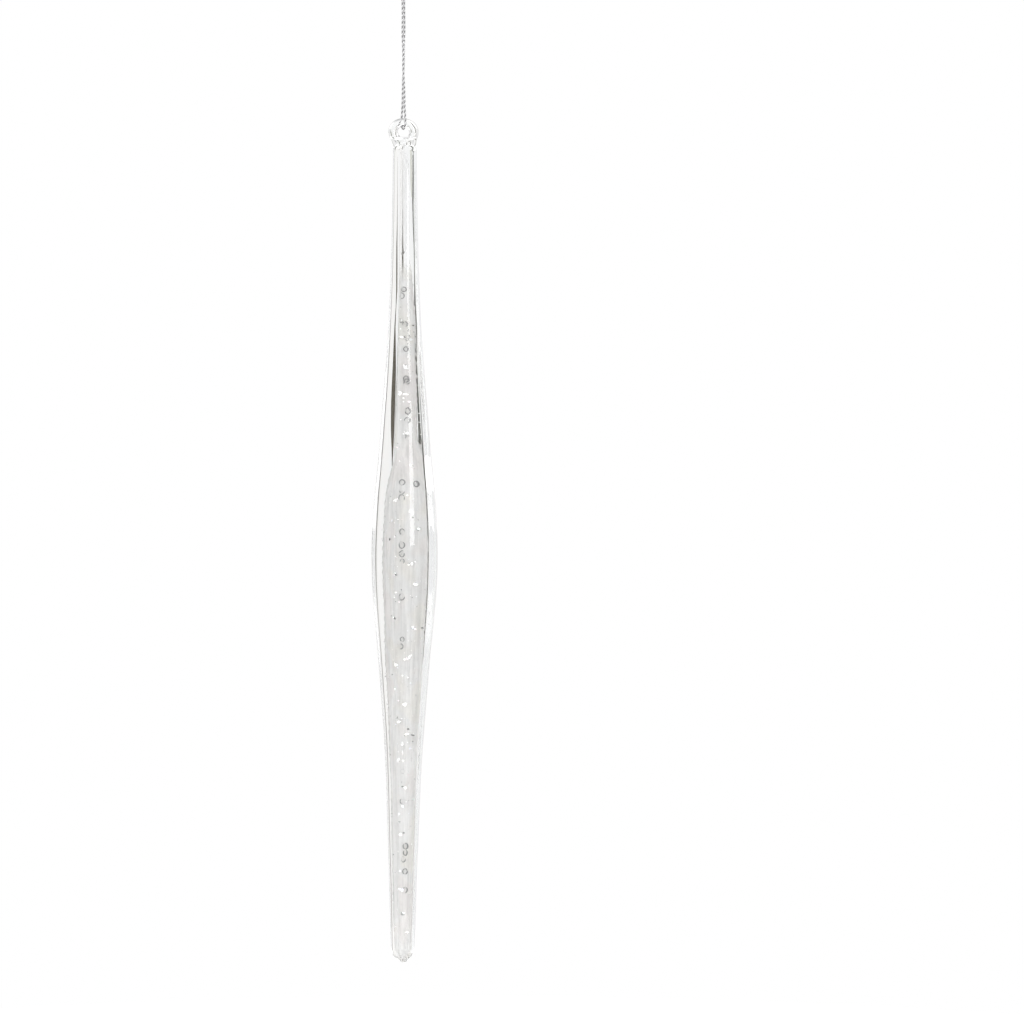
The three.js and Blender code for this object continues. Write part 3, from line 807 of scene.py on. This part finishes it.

# glitter: bright metallised chips of several faint colours, and some chips painted dark grey as a painted dark
# reflection
m_glit, nt, out = node_mat("glitter")
b = add(nt, "ShaderNodeBsdfPrincipled", Roughness=0.12)
b.inputs["Metallic"].default_value = 1.0
at_ = add(nt, "ShaderNodeAttribute", attribute_name="tint")
# the two last stops paint chips dark grey: a painted reflection of dark surroundings in those flakes
flake_colour_and_painted_dark = ramp(nt, [(0.0, (0.97, 0.97, 0.98)), (0.35, (0.98, 0.97, 0.94)), (0.5, (0.97, 0.88, 0.92)), (0.62, (0.90, 0.96, 0.92)), (0.74, (0.9, 0.9, 0.98)), (0.86, (0.98, 0.98, 0.98)), (0.90, (0.30, 0.31, 0.30)), (1.0, (0.16, 0.17, 0.16))])
nt.links.new(at_.outputs["Fac"], flake_colour_and_painted_dark.inputs["Fac"])
nz = add(nt, "ShaderNodeTexNoise", Scale=1.0, Detail=2.0)
nt.links.new(coords(nt, (3000, 3000, 3000)), nz.inputs["Vector"])
bump = add(nt, "ShaderNodeBump", Strength=0.2, Distance=0.00005)
nt.links.new(nz.outputs["Fac"], bump.inputs["Height"])
nt.links.new(bump.outputs["Normal"], b.inputs["Normal"])
nt.links.new(flake_colour_and_painted_dark.outputs["Color"], b.inputs["Base Color"])
nt.links.new(b.outputs["BSDF"], out.inputs["Surface"])
for ob in flakes.values():
    ob.data.materials.append(m_glit)

# cord: silvery twisted thread, filaments lying along each ply
m_cord, nt, out = node_mat("silver_cord")
b = add(nt, "ShaderNodeBsdfPrincipled", Roughness=0.34)
b.inputs["Metallic"].default_value = 0.6
a1 = add(nt, "ShaderNodeAttribute", attribute_name="around")
a2 = add(nt, "ShaderNodeAttribute", attribute_name="along")
comb = add(nt, "ShaderNodeCombineXYZ")
m1 = add(nt, "ShaderNodeMath", operation="MULTIPLY")
m1.inputs[1].default_value = 9.0
nt.links.new(a1.outputs["Fac"], m1.inputs[0])
m2 = add(nt, "ShaderNodeMath", operation="MULTIPLY")
m2.inputs[1].default_value = 0.9
nt.links.new(a2.outputs["Fac"], m2.inputs[0])
nt.links.new(m1.outputs[0], comb.inputs[0])
nt.links.new(m2.outputs[0], comb.inputs[1])
fib = add(nt, "ShaderNodeTexNoise", Scale=1.0, Detail=3.0, Roughness=0.7)
nt.links.new(comb.outputs[0], fib.inputs["Vector"])
cc = ramp(nt, [(0.3, (0.42, 0.42, 0.42)), (0.5, (0.72, 0.72, 0.725)), (0.68, (0.96, 0.96, 0.965))])
nt.links.new(fib.outputs["Fac"], cc.inputs["Fac"])
# painted shade: each ply's colour is darkened where it turns in against its neighbour, in the crevice between the plies
inward = add(nt, "ShaderNodeMath", operation="SUBTRACT")
nt.links.new(a1.outputs["Fac"], inward.inputs[0])
inward.inputs[1].default_value = 0.5
turned = add(nt, "ShaderNodeMath", operation="ABSOLUTE")
nt.links.new(inward.outputs[0], turned.inputs[0])
shade = ramp(nt, [(0.10, (0.10, 0.10, 0.10)), (0.22, (0.34, 0.33, 0.33)), (0.32, (0.85, 0.85, 0.85)), (0.40, (1.0, 1.0, 1.0))])
nt.links.new(turned.outputs[0], shade.inputs["Fac"])
# multiplies the painted crevice shade into the thread's colour
crevice_shade_mix = add(nt, "ShaderNodeMix", data_type="RGBA", blend_type="MULTIPLY")
crevice_shade_mix.inputs[0].default_value = 1.0
nt.links.new(cc.outputs["Color"], crevice_shade_mix.inputs[6])
nt.links.new(shade.outputs["Color"], crevice_shade_mix.inputs[7])
nt.links.new(crevice_shade_mix.outputs[2], b.inputs["Base Color"])
bump = add(nt, "ShaderNodeBump", Strength=0.6, Distance=0.00008)
nt.links.new(fib.outputs["Fac"], bump.inputs["Height"])
nt.links.new(bump.outputs["Normal"], b.inputs["Normal"])
nt.links.new(b.outputs["BSDF"], out.inputs["Surface"])
for ob in (cord, knot):
    ob.data.materials.append(m_cord)

# ------------------------------------------------------------------ what each piece rides on and stands for
for ob in (body, ring, liner):
    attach(ob, "icicle")
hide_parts("glass_body")
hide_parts("hanging_ring")
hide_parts("frost_liner")
for name, ob in beads.items():
    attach(ob, "icicle")
    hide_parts(name)
for name, ob in flakes.items():
    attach(ob, "icicle")
    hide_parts(name)
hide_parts("hanging_cord")
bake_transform(cord)
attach(knot, "knot")
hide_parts("cord_knot")

# ------------------------------------------------------------------ floor, and soft light from all round with narrow dark gaps in it
floor = mesh_object("floor", [(1150 * math.cos(a), 1150 * math.sin(a), -560.0) for a in np.linspace(0, 2 * math.pi, 96, endpoint=False)], [list(range(96))])
m_floor, nt, out = node_mat("floor_pale")
b = add(nt, "ShaderNodeBsdfPrincipled", Roughness=0.9)
b.inputs["Specular IOR Level"].default_value = 0.0
b.inputs["Base Color"].default_value = (0.80, 0.80, 0.80, 1)
b.inputs["Emission Color"].default_value = (1, 1, 1, 1)
# painted light: the floor glows by emission, more and more towards its edge, so that the sweep runs out to white
place = add(nt, "ShaderNodeTexCoord")
span = nt.nodes.new("ShaderNodeVectorMath")
span.operation = "LENGTH"
nt.links.new(place.outputs["Object"], span.inputs[0])
fade = add(nt, "ShaderNodeMapRange")
fade.inputs["From Min"].default_value = 0.72
fade.inputs["From Max"].default_value = 1.0
fade.inputs["To Min"].default_value = 0.0
fade.inputs["To Max"].default_value = 1.25
nt.links.new(span.outputs["Value"], fade.inputs["Value"])
nt.links.new(fade.outputs["Result"], b.inputs["Emission Strength"])
nt.links.new(b.outputs["BSDF"], out.inputs["Surface"])
floor.data.materials.append(m_floor)

LOOK = math.atan2(-OUT[1], -OUT[0])  # straight through the object from the front
world = bpy.data.worlds.new("studio")
scene.world = world
world.use_nodes = True
nt = world.node_tree
nt.nodes.clear()


def math_node(op, *ins, clamp=False):
    n = nt.nodes.new("ShaderNodeMath")
    n.operation = op
    n.use_clamp = clamp
    for i, v in enumerate(ins):
        if isinstance(v, (int, float)):
            n.inputs[i].default_value = v
        else:
            nt.links.new(v, n.inputs[i])
    return n.outputs[0]


def soft_step(v, lo, hi):
    n = nt.nodes.new("ShaderNodeMapRange")
    n.interpolation_type = "SMOOTHSTEP"
    nt.links.new(v, n.inputs["Value"])
    n.inputs["From Min"].default_value = lo
    n.inputs["From Max"].default_value = hi
    return n.outputs["Result"]


def curve_of(v, lo, hi, points):
    """A number read off a table over lo..hi, at values 0..1 of the table's own scale."""
    u = nt.nodes.new("ShaderNodeMapRange")
    nt.links.new(v, u.inputs["Value"])
    u.inputs["From Min"].default_value = lo
    u.inputs["From Max"].default_value = hi
    r_ = ramp(nt, [((p - lo) / (hi - lo), (q, q, q)) for p, q in points])
    nt.links.new(u.outputs["Result"], r_.inputs["Fac"])
    return r_.outputs["Color"]


tc = nt.nodes.new("ShaderNodeTexCoord")
rot = nt.nodes.new("ShaderNodeVectorRotate")
rot.rotation_type = "Z_AXIS"
rot.inputs["Angle"].default_value = -LOOK
nt.links.new(tc.outputs["Generated"], rot.inputs["Vector"])
sep = nt.nodes.new("ShaderNodeSeparateXYZ")
nt.links.new(rot.outputs["Vector"], sep.inputs[0])
# azimuth in degrees from straight behind the object, positive to the right as seen from the front; elevation in degrees
az = math_node("MULTIPLY", math_node("ARCTAN2", sep.outputs["Y"], sep.outputs["X"]), -180 / math.pi)
el = math_node("MULTIPLY", math_node("ARCSINE", sep.outputs["Z"]), 180 / math.pi)
BASE = [
    (-180, (0.93, 0.93, 0.94)), (-160, (0.90, 0.90, 0.91)), (-145, (0.92, 0.92, 0.93)), (-128, (0.885, 0.885, 0.885)), (-118, (0.88, 0.88, 0.88)),
    (-114, (0.79, 0.79, 0.79)), (-106, (0.79, 0.79, 0.79)), (-101, (0.87, 0.87, 0.87)), (-90, (0.84, 0.84, 0.84)), (-74, (0.87, 0.87, 0.87)),
    (-60, (0.90, 0.90, 0.90)), (-45, (0.88, 0.885, 0.86)), (-33, (0.91, 0.92, 0.90)), (-20, (0.93, 0.93, 0.93)), (0, (0.93, 0.93, 0.935)),
    (12, (0.95, 0.94, 0.93)), (24, (0.965, 0.95, 0.94)), (36, (0.92, 0.91, 0.885)), (52, (0.90, 0.90, 0.88)), (60, (0.93, 0.93, 0.93)),
    (90, (0.84, 0.84, 0.84)), (120, (0.94, 0.94, 0.94)), (130, (0.89, 0.89, 0.91)), (137, (0.92, 0.92, 0.93)), (143, (0.88, 0.88, 0.89)), (152, (0.93, 0.93, 0.94)),
    (180, (0.93, 0.93, 0.94)),
]
base_ramp = ramp(nt, [((p + 180) / 360, c) for p, c in BASE])
nt.links.new(math_node("MULTIPLY_ADD", az, 1 / 360, 0.5), base_ramp.inputs["Fac"])
colour = base_ramp.outputs["Color"]
high = curve_of(el, -90, 90, [(-90, 0.95), (-5, 0.97), (0, 1.0), (45, 1.0), (60, 0.66), (78, 0.42), (90, 0.4)])


def darken(colour, mask, dark):
    m = nt.nodes.new("ShaderNodeMix")
    m.data_type = "RGBA"
    nt.links.new(mask, m.inputs[0])
    nt.links.new(colour, m.inputs[6])
    m.inputs[7].default_value = (*dark, 1)
    return m.outputs[2]


def gap(colour, centre, half, soft, strength=1.0, low=None, high=None, dark=(0.02, 0.02, 0.018), halo=None):
    """A dark gap between the lights, upright or leaning: centre, half width and strength are numbers or tables over elevation."""
    d = math_node("ABSOLUTE", math_node("WRAP", math_node("SUBTRACT", az, centre), 180.0, -180.0))
    e = math_node("SUBTRACT", d, half)
    k = math_node("SUBTRACT", 1.0, soft_step(e, 0.0, soft))
    lim = []
    if low is not None:
        lim.append(soft_step(el, low[0], low[1]))
    if high is not None:
        lim.append(math_node("SUBTRACT", 1.0, soft_step(el, high[0], high[1])))
    for v in lim:
        k = math_node("MULTIPLY", k, v)
    if halo is not None:
        g = math_node("SUBTRACT", 1.0, soft_step(e, 0.0, soft * 2.6))
        for v in lim:
            g = math_node("MULTIPLY", g, v)
        colour = darken(colour, math_node("MULTIPLY", g, 0.8), halo)
    return darken(colour, math_node("MULTIPLY", k, strength), dark)


# the lines at the rims
s7 = curve_of(el, -12, 12, [(-12, 0.0), (-6.6, 0.0), (-5.6, 0.8), (-3.5, 0.8), (-2.5, 0.0), (2.5, 0.0), (3.5, 0.72), (8, 0.72), (9, 0.3), (12, 0.3)])
colour = gap(colour, -36.0, 2.6, 1.4, s7, dark=(0.05, 0.05, 0.05))
s8 = curve_of(el, -12, 12, [(-12, 0.8), (0, 0.75), (3, 0.6), (6, 0.4), (12, 0.3)])
colour = gap(colour, 37.0, 5.0, 2.0, s8, dark=(0.06, 0.06, 0.055))
for centre, half, k in ((88.0, 2.0, 0.5), (-92.0, 2.0, 0.5)):
    colour = gap(colour, centre, half, 1.6, k, low=(-14, -8), high=(12, 24), dark=(0.05, 0.05, 0.05))
# more light from the front and above
side = math_node("ABSOLUTE", az)
lift = math_node("MULTIPLY", math_node("MULTIPLY", soft_step(side, 66.0, 96.0), soft_step(el, 16.0, 28.0)), 1.1)
high = math_node("MULTIPLY", high, math_node("ADD", lift, 1.0))

bg = nt.nodes.new("ShaderNodeBackground")
nt.links.new(colour, bg.inputs["Color"])
nt.links.new(high, bg.inputs["Strength"])
white = nt.nodes.new("ShaderNodeBackground")
white.inputs["Color"].default_value = (1, 1, 1, 1)
white.inputs["Strength"].default_value = 1.0
lp_ = nt.nodes.new("ShaderNodeLightPath")
mix = nt.nodes.new("ShaderNodeMixShader")
nt.links.new(lp_.outputs["Is Camera Ray"], mix.inputs["Fac"])
nt.links.new(bg.outputs[0], mix.inputs[1])
nt.links.new(white.outputs[0], mix.inputs[2])
wo = nt.nodes.new("ShaderNodeOutputWorld")
nt.links.new(mix.outputs[0], wo.inputs["Surface"])
world.cycles.sampling_method = "MANUAL"
world.cycles.sample_map_resolution = 2048


def softbox(name, azimuth, elevation, wide, tall, distance, radiance, through=True):
    """A soft light seen from the object's middle at an azimuth from behind it (as above) and an elevation, sized in metres."""
    a = LOOK - math.radians(azimuth)
    e = math.radians(elevation)
    d = Vector((math.cos(a) * math.cos(e), math.sin(a) * math.cos(e), math.sin(e)))
    data = bpy.data.lights.new(name, "AREA")
    data.shape, data.size, data.size_y = "RECTANGLE", wide, tall
    data.energy = radiance * math.pi * wide * tall
    ob = bpy.data.objects.new(name, data)
    scene.collection.objects.link(ob)
    ob.location = Vector((0, 0, -0.2)) + d * distance
    ob.rotation_mode = "QUATERNION"
    ob.rotation_quaternion = d.to_track_quat("Z", "Y")
    ob.visible_camera = False
    ob.visible_transmission = through
    return ob


# narrow dark flags close behind, which draw the dark bands down the upper left and the line down the right:
# rows of height, middle and half width across
FLAG_LEFT = [
    (-30, 46, 1.0), (-45, 44, 2.0), (-55, 42, 3.0), (-64, 41, 5.0), (-74, 43, 9.5), (-85, 38, 11), (-98, 31, 9), (-108, 36, 4), (-119, 42, 8),
    (-129, 37, 15), (-141, 31, 20), (-151, 29, 22), (-161, 26, 21), (-169, 20, 16), (-179, 13, 8), (-192, 8, 1),
]
FLAG_RIGHT = [
    (-20, -169, 31), (-29, -172, 34), (-41, -147, 19), (-52, -129, 17), (-62, -137, 15), (-74, -167, 19), (-85, -159, 13),
    (-97, -157, 21), (-108, -145.5, 30.5), (-116, -152.5, 47.5), (-121, -153.5, 58.5), (-124, -128.5, 71.5), (-129, -114.5, 57.5), (-134, -110, 46),
    (-139, -115, 31), (-144, -114, 26), (-149, -117, 19), (-155, -121, 16), (-162, -121, 16), (-169, -120, 17), (-175, -121, 21),
    (-181, -123, 27), (-198, -150, 32), (-207, -165, 16), (-212, -176, 10), (-217, -197, 15), (-222, -206, 5),
]
FLAG_RIGHT_INNER = [(-145, -83.5, 1), (-149, -86, 2.5), (-153, -86.5, 1.8), (-156, -87.5, 0.9), (-158, -88, 0.3)]
HALO_RIGHT = [(-16, -102, 26), (-42, -100, 25), (-50, -98, 10)]
# two more for the ring alone
FLAG_RING_ARC = [(110, 98, 24), (60, 100, 24), (20, 104, 22), (-14, 106, 18)]
FLAG_RING_EDGE = [(90, -240, 36), (20, -236, 34), (-44, -238, 28)]


def flag_card(name, rows, behind, tone):
    fv, ff = [], []
    for z, mid, half in rows:
        for e in (-half, half):
            fv.append(-OUT * behind + RIGHT * (mid + e) + np.array([0, 0, z]))
    for i in range(len(rows) - 1):
        ff.append([2 * i, 2 * i + 1, 2 * i + 3, 2 * i + 2])
    ob = mesh_object(name, fv, ff, smooth=False)
    m, nt, out = node_mat(name)
    b = add(nt, "ShaderNodeBsdfPrincipled", Roughness=1.0)
    b.inputs["Base Color"].default_value = (*tone, 1)
    b.inputs["Specular IOR Level"].default_value = 0.0
    nt.links.new(b.outputs["BSDF"], out.inputs["Surface"])
    ob.data.materials.append(m)
    ob.visible_camera = False


flag_card("flag_left", FLAG_LEFT, 250.0, (0.06, 0.052, 0.036))
flag_card("flag_right", FLAG_RIGHT, 250.0, (0.05, 0.051, 0.043))
flag_card("flag_right_inner", FLAG_RIGHT_INNER, 251.0, (0.05, 0.051, 0.043))
flag_card("flag_ring_arc", FLAG_RING_ARC, 250.0, (0.03, 0.03, 0.03))
flag_card("flag_ring_edge", FLAG_RING_EDGE, 250.0, (0.3, 0.3, 0.3))
flag_card("flag_halo", HALO_RIGHT, 252.0, (0.5, 0.5, 0.46))

softbox("window_front_right", 180 - 30, 8.0, 0.55, 0.28, 1.3, 5.0, through=False)
softbox("window_front_left", -180 + 50, 30.0, 0.5, 0.4, 1.6, 3.0, through=False)
